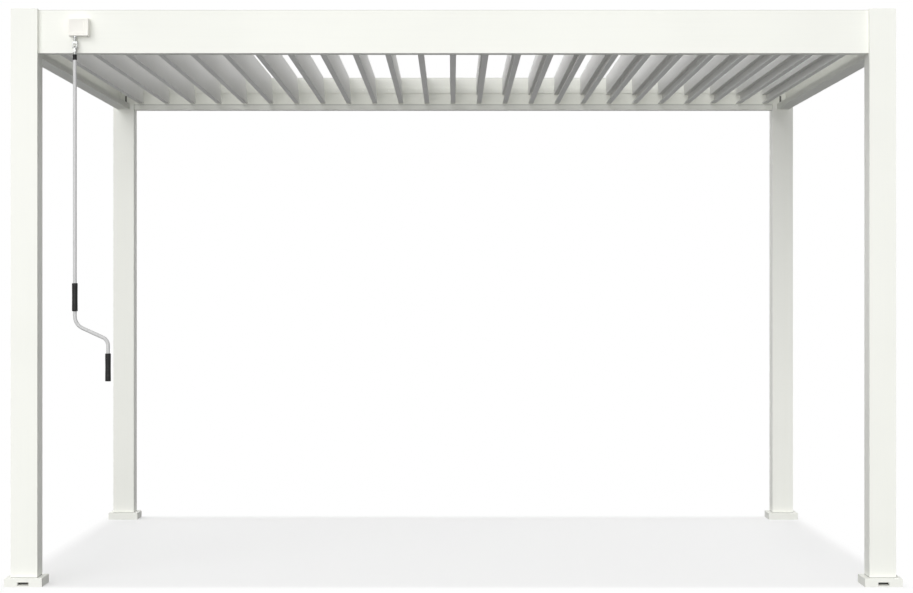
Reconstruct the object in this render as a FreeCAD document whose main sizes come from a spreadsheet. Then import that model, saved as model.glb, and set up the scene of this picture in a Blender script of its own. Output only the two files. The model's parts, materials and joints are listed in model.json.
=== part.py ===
import FreeCAD, Part
import Sketcher
import math
import os

# Louvred-roof pergola of coated aluminium: four posts, four beams with rain gutters, a
# row of turning louvres and the worm gearbox with its hanging crank.
# X runs along the front, the front faces -Y, Z points up from the ground.

doc = FreeCAD.newDocument("Pergola")

# Driving sizes, millimetres and degrees
SIZES = {
    "frame_length": 4000,      # over the posts, along X
    "frame_width": 3000,       # over the posts, along Y
    "frame_height": 2612,      # ground to the top of the post caps
    "post_side": 120,
    "post_wall": 3,
    "cap_thickness": 4,
    "cap_bevel": 1.5,
    "beam_height": 196,
    "beam_inset": 25,          # beam face behind the post face
    "beam_wall": 3,
    "groove_drop": 16,         # beam's upper edge to the groove along its face
    "groove_width": 3,
    "groove_depth": 1,
    "gutter_width": 70,        # beam face to the inner face of the gutter
    "gutter_depth": 32,        # beam underside to the top of the gutter lip
    "gutter_wall": 2.5,
    "foot_side": 170,
    "foot_height": 39,
    "foot_wall": 4,
    "foot_bevel": 2,
    "plate_side": 150,
    "plate_thickness": 8,
    "drain_width": 50,
    "drain_height": 16,
    "drain_sill": 5,           # ground to the lower edge of the drain slot
    "slip_fit": 0.3,           # gap of covers, pins and shafts in their seats
    "blade_width": 160,
    "blade_lap": 6.5,          # how far a closed louvre covers the next one
    "blade_wall": 1.6,
    "blade_crown": 15,         # thickness along the upper edge
    "blade_toe": 27.5,         # thickness along the lower edge
    "blade_toe_front": 13,     # pivot line to the ceiling face at the lower edge
    "channel_height": 52,      # lower edge to the top of the water channel
    "channel_lip": 8,
    "channel_setback": 2.5,    # lip behind the plane of the rain face
    "blade_lift": 7,           # gutter lip to the lower edge of an open louvre
    "closing_turn": 83.0769,   # open to closed
    "end_gap": 24,             # beam wall to the end of a louvre
    "end_plate": 4,
    "pivot_pin": 12,           # diameter
    "pin_end_play": 1,
    "rail_height": 30,
    "rail_thickness": 6,
    "lever_reach": 60,         # pivot to the pin of the drive bar
    "lever_width": 18,
    "lever_root": 15,
    "lever_pin": 8,            # diameter
    "lever_play": 2.5,         # lever to the face of the drive bar
    "bar_height": 16,
    "bar_thickness": 5,
    "bar_overhang": 12,
    "bar_pin_play": 0.5,
    "gearbox_length": 92,
    "gearbox_height": 81,
    "gearbox_depth": 48,
    "gearbox_edge": 3,
    "gearbox_shift": 3.5,      # output shaft to the middle of the gearbox, along X
    "shaft_rise": 46,          # gearbox underside to the output shaft
    "shaft_seat": 30,          # output shaft inside the gearbox
    "worm_offset": 22,         # output shaft to the crank shaft, along X
    "worm_set_out": 24,        # beam face to the crank shaft
    "spindle_size": 12,        # diameter
    "spindle_seat": 20,
    "spindle_length": 23,      # gearbox underside to the upper fork
    "fork_width": 22,
    "fork_arm": 3,
    "fork_depth": 10,
    "fork_bridge": 10,
    "fork_throat": 15,         # fork pivot to the bridge
    "fork_tip": 6,             # fork pivot to the end of the arm
    "fork_round": 4,           # rounding of the arms' ends
    "fork_pin": 5.4,           # diameter
    "cross_block": 9,
    "lower_bridge": 7,
    "neck_length": 12,
    "neck_size": 12,           # diameter
    "collar_length": 25,
    "collar_size": 19,         # diameter
    "rod_size": 17,            # outside diameter
    "rod_straight": 1157,      # collar to the first bend
    "first_bend": 60,          # radius
    "second_bend": 40,         # radius
    "handle_slope": 24.5,      # of the run between the bends, below level
    "handle_offset": 150,
    "handle_drop": 162,        # second bend to the end of the rod
    "upper_grip_length": 127,
    "upper_grip_gap": 22,      # first bend to the sleeve above it
    "lower_grip_length": 126,
    "grip_size": 26,           # diameter
    "grip_edge": 3,
}

sheet = doc.addObject("Spreadsheet::Sheet", "Sizes")
for row, (alias, value) in enumerate(SIZES.items(), start=1):
    sheet.set(f"A{row}", alias)
    sheet.set(f"B{row}", str(value))
    sheet.setAlias(f"B{row}", alias)
doc.recompute()

# Places that several pieces share, as formulas of the sizes
S = "Sizes."
POST_TOP = f"({S}frame_height - {S}cap_thickness)"
BEAM_UNDERSIDE = f"({POST_TOP} - {S}beam_height)"
LIP_TOP = f"({BEAM_UNDERSIDE} + {S}gutter_depth)"
POST_X = f"(({S}frame_length - {S}post_side) / 2)"
POST_Y = f"(({S}frame_width - {S}post_side) / 2)"
BEAM_FACE_X = f"({S}frame_length / 2 - {S}beam_inset)"
BEAM_FACE_Y = f"({S}frame_width / 2 - {S}beam_inset)"
WALL_Y = f"({BEAM_FACE_Y} - {S}beam_wall)"
BLADE_END = f"({WALL_Y} - {S}end_gap)"
PIVOT_Z = f"({LIP_TOP} + {S}blade_lift + {S}blade_width / 2)"
PITCH = f"({S}blade_width - {S}blade_lap)"
LEVER_ANGLE = f"({S}closing_turn / 2 * 1 deg)"
LEVER_X = f"({S}lever_reach * sin({LEVER_ANGLE}))"
LEVER_Z = f"({S}lever_reach * cos({LEVER_ANGLE}))"
BAR_FACE = f"({BLADE_END} + {S}lever_play)"
GEARBOX_UNDERSIDE = f"({PIVOT_Z} - {S}shaft_rise)"
JOINT_Z = f"({GEARBOX_UNDERSIDE} - {S}spindle_length - {S}fork_bridge - {S}fork_throat)"
JOINT_Y = f"(-{BEAM_FACE_Y} - {S}worm_set_out)"

# The row holds as many louvres as turn freely between the side beams
clear_length = sheet.frame_length - 2 * (sheet.beam_inset + sheet.beam_wall)
pitch = sheet.blade_width - sheet.blade_lap
louvre_count = int((clear_length - sheet.blade_width - sheet.blade_crown) // pitch) + 1
first_pivot = -(louvre_count - 1) / 2
DRIVEN_LOUVRE = 2
DRIVEN_X = f"({first_pivot + DRIVEN_LOUVRE - 1} * {PITCH})"
JOINT_X = f"({DRIVEN_X} - {S}worm_offset)"

# The many small pivot pins and their bearings are prisms with this many flats
PIN_SIDES = 6


def body_named(label, x="0", y="0", z="0"):
    """A body whose label names its file, placed by three formulas."""
    body = doc.addObject("PartDesign::Body", label)
    body.Label = label
    for axis, formula in zip("xyz", (x, y, z)):
        body.setExpression(f".Placement.Base.{axis}", formula)
    return body


def origin_feature(body, role):
    """One of the body's own base planes or axes."""
    return next(f for f in body.Origin.OriginFeatures if f.Role == role)


def sketch_on(body, plane, height="0"):
    """A sketch on one of the body's own planes, moved along its normal."""
    sketch = body.newObject("Sketcher::SketchObject", f"{body.Label}_sketch")
    sketch.AttachmentSupport = (origin_feature(body, plane), "")
    sketch.MapMode = "FlatFace"
    sketch.setExpression(".AttachmentOffset.Base.z", height)
    return sketch


def bind_point(sketch, line, end, across, up):
    """Hold one end of a line at two formulas from the sketch's origin."""
    start = sketch.Geometry[line].StartPoint if end == 1 else sketch.Geometry[line].EndPoint
    for kind, value, formula in (("DistanceX", start.x, across), ("DistanceY", start.y, up)):
        index = sketch.addConstraint(Sketcher.Constraint(kind, -1, 1, line, end, value))
        sketch.setExpression(f"Constraints[{index}]", formula)


def outline(sketch, corners):
    """A closed outline of straight edges through the corners, each a pair of formulas."""
    count = len(corners)
    first = sketch.GeometryCount
    turn = [2 * math.pi * i / count for i in range(count + 1)]
    ring = [FreeCAD.Vector(50 + 9 * math.cos(a), 50 + 9 * math.sin(a), 0) for a in turn]
    sketch.addGeometry([Part.LineSegment(ring[i], ring[i + 1]) for i in range(count)])
    for i in range(count):
        following = first + (i + 1) % count
        sketch.addConstraint(Sketcher.Constraint("Coincident", first + i, 2, following, 1))
    for i, (across, up) in enumerate(corners):
        bind_point(sketch, first + i, 1, across, up)


def rectangle(sketch, left, right, bottom, top):
    """A closed rectangle between four formulas."""
    outline(sketch, [(left, bottom), (right, bottom), (right, top), (left, top)])


def circle(sketch, diameter, across="0", up="0"):
    """A circle of a given diameter about a point."""
    index = sketch.addGeometry(Part.Circle(FreeCAD.Vector(0, 0, 0), FreeCAD.Vector(0, 0, 1), 5))
    size = sketch.addConstraint(Sketcher.Constraint("Diameter", index, 10))
    sketch.setExpression(f"Constraints[{size}]", diameter)
    for kind, formula in (("DistanceX", across), ("DistanceY", up)):
        place = sketch.addConstraint(Sketcher.Constraint(kind, -1, 1, index, 3, 1))
        sketch.setExpression(f"Constraints[{place}]", formula)


def pad(body, sketch, length, symmetric=False, reverse=False):
    """Material along the sketch's normal, from it or about it."""
    feature = body.newObject("PartDesign::Pad", f"{body.Label}_pad")
    feature.Profile = sketch
    feature.SideType = "Symmetric" if symmetric else "One side"
    feature.Reversed = reverse
    feature.setExpression("Length", length)
    return feature


def pocket(body, sketch, length, symmetric=False, reverse=False):
    """A cut against the sketch's normal, from it or about it."""
    feature = body.newObject("PartDesign::Pocket", f"{body.Label}_pocket")
    feature.Profile = sketch
    feature.SideType = "Symmetric" if symmetric else "One side"
    feature.Reversed = reverse
    feature.setExpression("Length", length)
    return feature


def prism_along_y(body, kind, radius, start, length, across="0", up="0"):
    """A pin (Additive) or a bearing hole (Subtractive) of few flats, from a depth towards the front."""
    prism = body.newObject(f"PartDesign::{kind}Prism", f"{body.Label}_prism")
    prism.AttachmentSupport = (origin_feature(body, "XZ_Plane"), "")
    prism.MapMode = "FlatFace"
    prism.Polygon = PIN_SIDES
    # an open louvre's pins point their corners at the flats of the holes around them
    turn = 180 / PIN_SIDES if kind == "Subtractive" else 0
    prism.AttachmentOffset = FreeCAD.Placement(FreeCAD.Vector(), FreeCAD.Rotation(turn, 0, 0))
    prism.setExpression("Circumradius", radius)
    prism.setExpression("Height", length)
    for axis, formula in zip("xyz", (across, up, start)):
        prism.setExpression(f".AttachmentOffset.Base.{axis}", formula)
    return prism


def around_pin(diameter, play):
    """The corner radius of a hole whose flats clear a pin by the play."""
    return f"(({diameter} / 2 + {play}) / cos(180 deg / {PIN_SIDES}))"


def round_edges(body, chosen, radius, kind="Fillet"):
    """Fillet or chamfer the edges of the body's last feature that pass a test."""
    doc.recompute()
    base = body.Tip
    names = [f"Edge{i}" for i, edge in enumerate(base.Shape.Edges, start=1) if chosen(edge)]
    feature = body.newObject(f"PartDesign::{kind}", f"{body.Label}_{kind.lower()}")
    feature.Base = (base, names)
    feature.setExpression("Radius" if kind == "Fillet" else "Size", radius)
    return feature


def lies_at(edge, height):
    """Whether all of an edge is at one height."""
    box = edge.BoundBox
    return abs(box.ZMin - height) < 1e-4 and abs(box.ZMax - height) < 1e-4


def make_post(label, side, end):
    """A square tube on its base plate, opened inwards above the gutters."""
    body = body_named(label, f"{side} * {POST_X}", f"{end} * {POST_Y}", f"{S}plate_thickness")
    section = sketch_on(body, "XY_Plane")
    half = f"{S}post_side / 2"
    bore = f"({half} - {S}post_wall)"
    rectangle(section, f"-{half}", half, f"-{half}", half)
    rectangle(section, f"-{bore}", bore, f"-{bore}", bore)
    pad(body, section, f"{POST_TOP} - {S}plate_thickness")
    # the louvres turn into this corner, so only the outer faces reach the top
    reach = f"({half} - {S}beam_inset - {S}beam_wall)"
    beyond = f"({half} + {S}post_wall)"
    notch = sketch_on(body, "XY_Plane", f"{POST_TOP} - {S}plate_thickness")
    rectangle(notch, f"-{side} * {beyond}", f"{side} * {reach}",
              f"-{end} * {beyond}", f"{end} * {reach}")
    pocket(body, notch, f"{POST_TOP} - {LIP_TOP}")
    # both gutters empty into the tube
    wet = f"({reach} - {S}gutter_wall)"
    lip = f"({half} - {S}beam_inset - {S}gutter_width + {S}gutter_wall)"
    outlets = sketch_on(body, "XY_Plane", f"{LIP_TOP} - {S}plate_thickness")
    outline(outlets, [
        (f"{side} * {wet}", f"{end} * {wet}"),
        (f"-{side} * {beyond}", f"{end} * {wet}"),
        (f"-{side} * {beyond}", f"{end} * {lip}"),
        (f"{side} * {lip}", f"{end} * {lip}"),
        (f"{side} * {lip}", f"-{end} * {beyond}"),
        (f"{side} * {wet}", f"-{end} * {beyond}"),
    ])
    pocket(body, outlets, f"{S}gutter_depth - {S}gutter_wall")
    # rain leaves the tube through this slot, level with the one in the foot cover
    drain = sketch_on(body, "XZ_Plane")
    rectangle(drain, f"-{S}drain_width / 2", f"{S}drain_width / 2",
              f"-{S}slip_fit", f"{S}drain_sill + {S}drain_height - {S}plate_thickness")
    pocket(body, drain, beyond, reverse=end < 0)
    return body


def make_foot_cover(label, side, end):
    """The hollow square skirt around a post, with the drain slot in its outer face."""
    body = body_named(label, f"{side} * {POST_X}", f"{end} * {POST_Y}")
    outer = f"({S}foot_side / 2)"
    inner = f"({outer} - {S}foot_wall)"
    hole = f"({S}post_side / 2 + {S}slip_fit)"
    shell = sketch_on(body, "XY_Plane")
    rectangle(shell, f"-{outer}", outer, f"-{outer}", outer)
    pad(body, shell, f"{S}foot_height")
    hollow = sketch_on(body, "XY_Plane")
    rectangle(hollow, f"-{inner}", inner, f"-{inner}", inner)
    pocket(body, hollow, f"{S}foot_height - {S}foot_wall", reverse=True)
    opening = sketch_on(body, "XY_Plane", f"{S}foot_height")
    rectangle(opening, f"-{hole}", hole, f"-{hole}", hole)
    pocket(body, opening, f"{S}foot_wall + {S}slip_fit")
    drain = sketch_on(body, "XZ_Plane", f"-{end} * {outer}")
    rectangle(drain, f"-{S}drain_width / 2", f"{S}drain_width / 2",
              f"{S}drain_sill", f"{S}drain_sill + {S}drain_height")
    pocket(body, drain, f"2 * {S}foot_wall", symmetric=True)
    top = sheet.foot_height
    reach = sheet.foot_side / 2
    round_edges(body, lambda e: lies_at(e, top) and edge_reach(e) > reach - 1e-4,
                f"{S}foot_bevel", "Chamfer")
    return body


def edge_reach(edge):
    """The largest distance of an edge's box from its body's axis, along X or Y."""
    box = edge.BoundBox
    return max(abs(box.XMin), abs(box.XMax), abs(box.YMin), abs(box.YMax))


def make_four_squares(label, size, height, thickness):
    """Four square plates, one on the axis of each post."""
    body = body_named(label, z=height)
    body.AllowCompound = True
    plates = sketch_on(body, "XY_Plane")
    for side in (-1, 1):
        for end in (-1, 1):
            rectangle(plates, f"{side} * {POST_X} - {size} / 2", f"{side} * {POST_X} + {size} / 2",
                      f"{end} * {POST_Y} - {size} / 2", f"{end} * {POST_Y} + {size} / 2")
    pad(body, plates, thickness)
    return body


def make_beam(label, plane, sign, face, length):
    """The upright plate that the roof hangs on, with a groove along its outer face."""
    body = body_named(label, z=BEAM_UNDERSIDE)
    section = sketch_on(body, plane)
    back = f"({face} - {S}beam_wall)"
    sunk = f"({face} - {S}groove_depth)"
    upper = f"({S}beam_height - {S}groove_drop)"
    lower = f"({upper} - {S}groove_width)"
    outline(section, [(f"{sign} * {across}", up) for across, up in (
        (back, "0"),
        (face, "0"),
        (face, lower),
        (sunk, lower),
        (sunk, upper),
        (face, upper),
        (face, f"{S}beam_height"),
        (back, f"{S}beam_height"),
    )])
    pad(body, section, length, symmetric=True)
    return body


def make_gutter(label, plane, sign, face, length):
    """The rain channel along the inner foot of a beam, open at both ends, its lip grooved."""
    body = body_named(label, z=BEAM_UNDERSIDE)
    section = sketch_on(body, plane)
    back = f"({face} - {S}beam_wall)"
    front = f"({face} - {S}gutter_width)"
    sunk = f"({front} + {S}groove_depth)"
    thin = f"{S}gutter_wall"
    upper = f"({S}gutter_depth + {S}groove_width) / 2"
    lower = f"({S}gutter_depth - {S}groove_width) / 2"
    outline(section, [(f"{sign} * {across}", up) for across, up in (
        (back, "0"),
        (back, f"{S}gutter_depth"),
        (f"({back} - {thin})", f"{S}gutter_depth"),
        (f"({back} - {thin})", thin),
        (f"({front} + {thin})", thin),
        (f"({front} + {thin})", f"{S}gutter_depth"),
        (front, f"{S}gutter_depth"),
        (front, upper),
        (sunk, upper),
        (sunk, lower),
        (front, lower),
        (front, "0"),
    )])
    pad(body, section, length, symmetric=True)
    return body


def drill_for_shaft(beam):
    """The hole that lets the gearbox shaft through the front beam."""
    hole = sketch_on(beam, "XZ_Plane", BEAM_FACE_Y)
    circle(hole, f"{S}pivot_pin + 4 * {S}slip_fit", DRIVEN_X, f"{PIVOT_Z} - {BEAM_UNDERSIDE}")
    pocket(beam, hole, f"2 * {S}beam_wall", symmetric=True)


def make_pivot_rail(label, end):
    """A strip on the beam wall with one bearing hole for each louvre."""
    body = body_named(label, z=PIVOT_Z)
    middle = f"{WALL_Y} - {S}rail_thickness / 2"
    strip = sketch_on(body, "XZ_Plane", f"-{end} * ({middle})")
    reach = f"({-first_pivot} * {PITCH} + {S}rail_height)"
    rectangle(strip, f"-{reach}", reach, f"-{S}rail_height / 2", f"{S}rail_height / 2")
    pad(body, strip, f"{S}rail_thickness", symmetric=True)
    bearing = prism_along_y(
        body, "Subtractive", around_pin(f"{S}pivot_pin", f"{S}slip_fit"),
        f"-{end} * ({middle}) - {S}rail_thickness", f"2 * {S}rail_thickness",
        f"{first_pivot} * {PITCH}",
    )
    repeat_along_x(body, bearing)
    return body


def repeat_along_x(body, feature):
    """One copy of a feature for each louvre, a pitch apart."""
    row = body.newObject("PartDesign::LinearPattern", f"{body.Label}_row")
    row.Originals = [feature]
    row.Direction = (origin_feature(body, "X_Axis"), [""])
    row.setExpression("Length", f"{louvre_count - 1} * {PITCH}")
    row.Occurrences = louvre_count
    body.Tip = row
    return row


def ceiling_face(height):
    """Where the sloping ceiling face of a louvre is, at a height above its pivot."""
    crown_back = f"({S}blade_toe_front - {S}blade_toe - {S}channel_setback + {S}blade_crown)"
    slope = f"(({crown_back} - {S}blade_toe_front) / {S}blade_width)"
    return f"({S}blade_toe_front + {slope} * ({height} + {S}blade_width / 2))"


def make_louvre(number):
    """An extruded blade with a box back and a water channel, end plates, pins and lever."""
    index = first_pivot + number - 1
    body = body_named(f"louvre_{number:02d}", f"{index} * {PITCH}", z=PIVOT_Z)
    half = f"({S}blade_width / 2)"
    thin = f"{S}blade_wall"
    rain = f"({S}blade_toe_front - {S}blade_toe - {S}channel_setback)"
    lip = f"({S}blade_toe_front - {S}blade_toe)"
    shelf = f"(-{half} + {S}channel_height)"
    floor = f"(-{half} + {thin})"
    blade = sketch_on(body, "XZ_Plane")
    outline(blade, [
        (f"{S}blade_toe_front", f"-{half}"),
        (ceiling_face(half), half),
        (rain, half),
        (rain, shelf),
        (f"{ceiling_face(shelf)} - {thin}", shelf),
        (f"{ceiling_face(floor)} - {thin}", floor),
        (f"{lip} + {thin}", floor),
        (f"{lip} + {thin}", f"-{half} + {S}channel_lip"),
        (lip, f"-{half} + {S}channel_lip"),
        (lip, f"-{half}"),
    ])
    ridge = f"({half} - {thin})"
    deck = f"({shelf} + {thin})"
    outline(blade, [
        (f"{ceiling_face(deck)} - {thin}", deck),
        (f"{ceiling_face(ridge)} - {thin}", ridge),
        (f"{rain} + {thin}", ridge),
        (f"{rain} + {thin}", deck),
    ])
    pad(body, blade, f"2 * ({BLADE_END} - {S}end_plate)", symmetric=True)
    for end in (-1, 1):
        plate = sketch_on(body, "XZ_Plane", f"-{end} * ({BLADE_END} - {S}end_plate / 2)")
        outline(plate, [
            (ceiling_face(shelf), shelf),
            (ceiling_face(half), half),
            (rain, half),
            (rain, shelf),
        ])
        pad(body, plate, f"{S}end_plate", symmetric=True)
    pin_length = f"({S}end_gap - {S}pin_end_play)"
    shaft_length = f"({S}end_gap + {S}beam_wall + {S}shaft_seat)"
    front_length = shaft_length if number == DRIVEN_LOUVRE else pin_length
    prism_along_y(body, "Additive", f"{S}pivot_pin / 2", BLADE_END, front_length)
    prism_along_y(body, "Additive", f"{S}pivot_pin / 2", f"-{BLADE_END} - {pin_length}", pin_length)
    along = (f"(-sin({LEVER_ANGLE}))", f"cos({LEVER_ANGLE})")
    aside = (f"cos({LEVER_ANGLE})", f"sin({LEVER_ANGLE})")
    tip = f"({S}lever_reach + {S}lever_width / 2)"
    lever = sketch_on(body, "XZ_Plane", f"{BLADE_END} - {S}end_plate")
    outline(lever, [
        tuple(f"{run} * {along[k]} + {sway} * {S}lever_width / 2 * {aside[k]}" for k in (0, 1))
        for run, sway in ((f"{S}lever_root", -1), (tip, -1), (tip, 1), (f"{S}lever_root", 1))
    ])
    pad(body, lever, f"{S}end_plate")
    prism_along_y(body, "Additive", f"{S}lever_pin / 2", BLADE_END,
                  f"{S}lever_play + {S}bar_thickness + {S}lever_play", f"-{LEVER_X}", LEVER_Z)
    return body


def make_drive_bar(label):
    """The flat bar that ties all levers together."""
    body = body_named(label, f"-{LEVER_X}", z=f"{PIVOT_Z} + {LEVER_Z}")
    strip = sketch_on(body, "XZ_Plane", BAR_FACE)
    reach = f"({-first_pivot} * {PITCH} + {S}bar_overhang)"
    rectangle(strip, f"-{reach}", reach, f"-{S}bar_height / 2", f"{S}bar_height / 2")
    pad(body, strip, f"{S}bar_thickness")
    eye = prism_along_y(
        body, "Subtractive", around_pin(f"{S}lever_pin", f"{S}bar_pin_play"),
        f"{BAR_FACE} - {S}bar_thickness", f"3 * {S}bar_thickness", f"{first_pivot} * {PITCH}",
    )
    repeat_along_x(body, eye)
    return body


def make_gearbox(label):
    """The worm gearbox on the front beam, bored for its two shafts."""
    body = body_named(label, DRIVEN_X, f"-{BEAM_FACE_Y}", GEARBOX_UNDERSIDE)
    block = sketch_on(body, "XZ_Plane")
    rectangle(block, f"-{S}gearbox_length / 2 - {S}gearbox_shift",
              f"{S}gearbox_length / 2 - {S}gearbox_shift", "0", f"{S}gearbox_height")
    pad(body, block, f"{S}gearbox_depth")
    output = sketch_on(body, "XZ_Plane")
    circle(output, f"{S}pivot_pin + 2 * {S}slip_fit", up=f"{S}shaft_rise")
    pocket(body, output, f"{S}shaft_seat + {S}pin_end_play", reverse=True)
    intake = sketch_on(body, "XY_Plane")
    circle(intake, f"{S}spindle_size + 2 * {S}slip_fit", f"-{S}worm_offset", f"-{S}worm_set_out")
    pocket(body, intake, f"{S}spindle_seat + {S}pin_end_play", reverse=True)
    face = -sheet.gearbox_depth
    round_edges(body, lambda e: abs(e.BoundBox.YMax - face) < 1e-4, f"{S}gearbox_edge", "Chamfer")
    return body


def fork_outline(sketch, bridge, up):
    """A fork in profile: two arms past the pivot and a bridge, upwards or downwards."""
    outer = f"{S}fork_width / 2"
    inner = f"({outer} - {S}fork_arm)"
    tip = f"{-up} * {S}fork_tip"
    throat = f"{up} * {S}fork_throat"
    back = f"{up} * ({S}fork_throat + {bridge})"
    outline(sketch, [
        (f"-{outer}", tip), (f"-{outer}", back), (outer, back), (outer, tip),
        (inner, tip), (inner, throat), (f"-{inner}", throat), (f"-{inner}", tip),
    ])


def make_fork(body, plane, cross_plane, bridge, up):
    """A universal-joint fork about the joint's centre, with its tips rounded."""
    profile = sketch_on(body, plane)
    fork_outline(profile, bridge, up)
    pad(body, profile, f"{S}fork_depth", symmetric=True)
    eye = sketch_on(body, cross_plane)
    circle(eye, f"{S}fork_pin + 2 * {S}slip_fit")
    pocket(body, eye, f"2 * {S}fork_width", symmetric=True)
    tip = -up * sheet.fork_tip
    half = sheet.fork_depth / 2
    corner = "YMin" if plane == "XZ_Plane" else "XMin"
    round_edges(
        body,
        lambda e: lies_at(e, tip) and abs(abs(getattr(e.BoundBox, corner)) - half) < 1e-4
        and e.Length < sheet.fork_arm + 1e-4,
        f"{S}fork_round",
    )


def make_spindle(label):
    """The crank shaft of the gearbox, ending in the upper fork."""
    body = body_named(label, JOINT_X, JOINT_Y, JOINT_Z)
    make_fork(body, "XZ_Plane", "YZ_Plane", f"{S}fork_bridge", 1)
    shaft = sketch_on(body, "XY_Plane", f"{S}fork_throat + {S}fork_bridge")
    circle(shaft, f"{S}spindle_size")
    pad(body, shaft, f"{S}spindle_length + {S}spindle_seat")
    return body


def make_cross(label):
    """The cross of the universal joint: a block with four pins."""
    body = body_named(label, JOINT_X, JOINT_Y, JOINT_Z)
    block = sketch_on(body, "XY_Plane")
    half = f"{S}cross_block / 2"
    rectangle(block, f"-{half}", half, f"-{half}", half)
    pad(body, block, f"{S}cross_block", symmetric=True)
    for plane in ("YZ_Plane", "XZ_Plane"):
        pin = sketch_on(body, plane)
        circle(pin, f"{S}fork_pin")
        pad(body, pin, f"{S}fork_width", symmetric=True)
    return body


def make_lower_fork(label):
    """The fork and neck that the crank rod hangs from."""
    body = body_named(label, JOINT_X, JOINT_Y, JOINT_Z)
    make_fork(body, "YZ_Plane", "XZ_Plane", f"{S}lower_bridge", -1)
    neck = sketch_on(body, "XY_Plane", f"-{S}fork_throat - {S}lower_bridge")
    circle(neck, f"{S}neck_size")
    pad(body, neck, f"{S}neck_length + {S}collar_length", reverse=True)
    return body


COLLAR_TOP = f"({S}fork_throat + {S}lower_bridge + {S}neck_length)"


def make_collar(label):
    """The black collar that joins the neck to the rod."""
    body = body_named(label, JOINT_X, JOINT_Y, f"{JOINT_Z} - {COLLAR_TOP}")
    ring = sketch_on(body, "XY_Plane")
    circle(ring, f"{S}collar_size")
    circle(ring, f"{S}neck_size")
    pad(body, ring, f"{S}collar_length", reverse=True)
    return body


def handle_path():
    """Corners and tangent points of the rod's centre line, below the collar."""
    slope = math.radians(sheet.handle_slope)
    turn = math.pi / 2 - slope
    run = FreeCAD.Vector(math.cos(slope), 0, -math.sin(slope))
    down = FreeCAD.Vector(0, 0, -1)
    reach_1 = sheet.first_bend * math.tan(turn / 2)
    reach_2 = sheet.second_bend * math.tan(turn / 2)
    corner_1 = down * (sheet.rod_straight + reach_1)
    corner_2 = corner_1 + run * (sheet.handle_offset / math.cos(slope))
    return {
        "bend_1": (corner_1 - down * reach_1, corner_1 + run * reach_1),
        "bend_2": (corner_2 - run * reach_2, corner_2 + down * reach_2),
        "end": corner_2 + down * (reach_2 + sheet.handle_drop),
    }


def arc_between(start, finish, corner_side):
    """An arc that leaves start along one run and meets finish along the next."""
    chord = finish - start
    turn = math.pi / 2 - math.radians(sheet.handle_slope)
    rise = chord.Length / 2 * math.tan(turn / 4)
    normal = FreeCAD.Vector(-chord.z, 0, chord.x)
    normal.normalize()
    middle = (start + finish) * 0.5 + normal * (rise * corner_side)
    return Part.Arc(start, middle, finish).toShape()


def make_rod(label):
    """The bent crank rod, swept along its centre line."""
    path = handle_path()
    (bend_1_in, bend_1_out), (bend_2_in, bend_2_out) = path["bend_1"], path["bend_2"]
    top = FreeCAD.Vector(0, 0, 0)
    spine = Part.Wire([
        Part.LineSegment(top, bend_1_in).toShape(),
        arc_between(bend_1_in, bend_1_out, -1),
        Part.LineSegment(bend_1_out, bend_2_in).toShape(),
        arc_between(bend_2_in, bend_2_out, 1),
        Part.LineSegment(bend_2_out, path["end"]).toShape(),
    ])
    down = FreeCAD.Vector(0, 0, -1)
    ring = Part.Wire([Part.makeCircle(sheet.rod_size / 2, top, down)])
    rod = doc.addObject("Part::Feature", label)
    rod.Label = label
    rod.Shape = spine.makePipeShell([ring], True, False)
    rod.setExpression(".Placement.Base.x", JOINT_X)
    rod.setExpression(".Placement.Base.y", JOINT_Y)
    rod.setExpression(".Placement.Base.z", f"{JOINT_Z} - {COLLAR_TOP} - {S}collar_length")
    return rod


def make_grip(label, across, top, length):
    """A black sleeve on the rod, with both rims bevelled."""
    body = body_named(label, f"{JOINT_X} + {across}", JOINT_Y,
                      f"{JOINT_Z} - {COLLAR_TOP} - {S}collar_length - ({top})")
    sleeve = sketch_on(body, "XY_Plane")
    circle(sleeve, f"{S}grip_size")
    circle(sleeve, f"{S}rod_size")
    pad(body, sleeve, length, reverse=True)
    rim = sheet.grip_size / 2
    round_edges(body, lambda e: edge_reach(e) > rim - 1e-4 and e.BoundBox.ZLength < 1e-4,
                f"{S}grip_edge", "Chamfer")
    return body


CORNERS = {
    "front_left": (-1, -1),
    "front_right": (1, -1),
    "rear_left": (-1, 1),
    "rear_right": (1, 1),
}

nodes = []
for name, (side, end) in CORNERS.items():
    nodes.append(make_post(f"{name}_post", side, end))
    nodes.append(make_foot_cover(f"{name}_foot_cover", side, end))
nodes.append(make_four_squares("base_plates", f"{S}plate_side", "0", f"{S}plate_thickness"))
caps = make_four_squares("post_caps", f"{S}post_side", POST_TOP, f"{S}cap_thickness")
cap_top = sheet.cap_thickness
round_edges(caps, lambda e: lies_at(e, cap_top), f"{S}cap_bevel", "Chamfer")
nodes.append(caps)

BETWEEN_POSTS_X = f"({S}frame_length - 2 * {S}post_side)"
BETWEEN_POSTS_Y = f"({S}frame_width - 2 * {S}post_side)"
SIDES = {
    "front": ("YZ_Plane", -1, BEAM_FACE_Y, BETWEEN_POSTS_X),
    "rear": ("YZ_Plane", 1, BEAM_FACE_Y, BETWEEN_POSTS_X),
    "left": ("XZ_Plane", -1, BEAM_FACE_X, BETWEEN_POSTS_Y),
    "right": ("XZ_Plane", 1, BEAM_FACE_X, BETWEEN_POSTS_Y),
}
for name, place in SIDES.items():
    beam = make_beam(f"{name}_beam", *place)
    if name == "front":
        drill_for_shaft(beam)
    nodes.append(beam)
    nodes.append(make_gutter(f"{name}_gutter", *place))
nodes.append(make_pivot_rail("front_pivot_rail", -1))
nodes.append(make_pivot_rail("rear_pivot_rail", 1))
for number in range(1, louvre_count + 1):
    nodes.append(make_louvre(number))
nodes.append(make_drive_bar("drive_bar"))
nodes.append(make_gearbox("gearbox"))
nodes.append(make_spindle("crank_spindle"))
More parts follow.
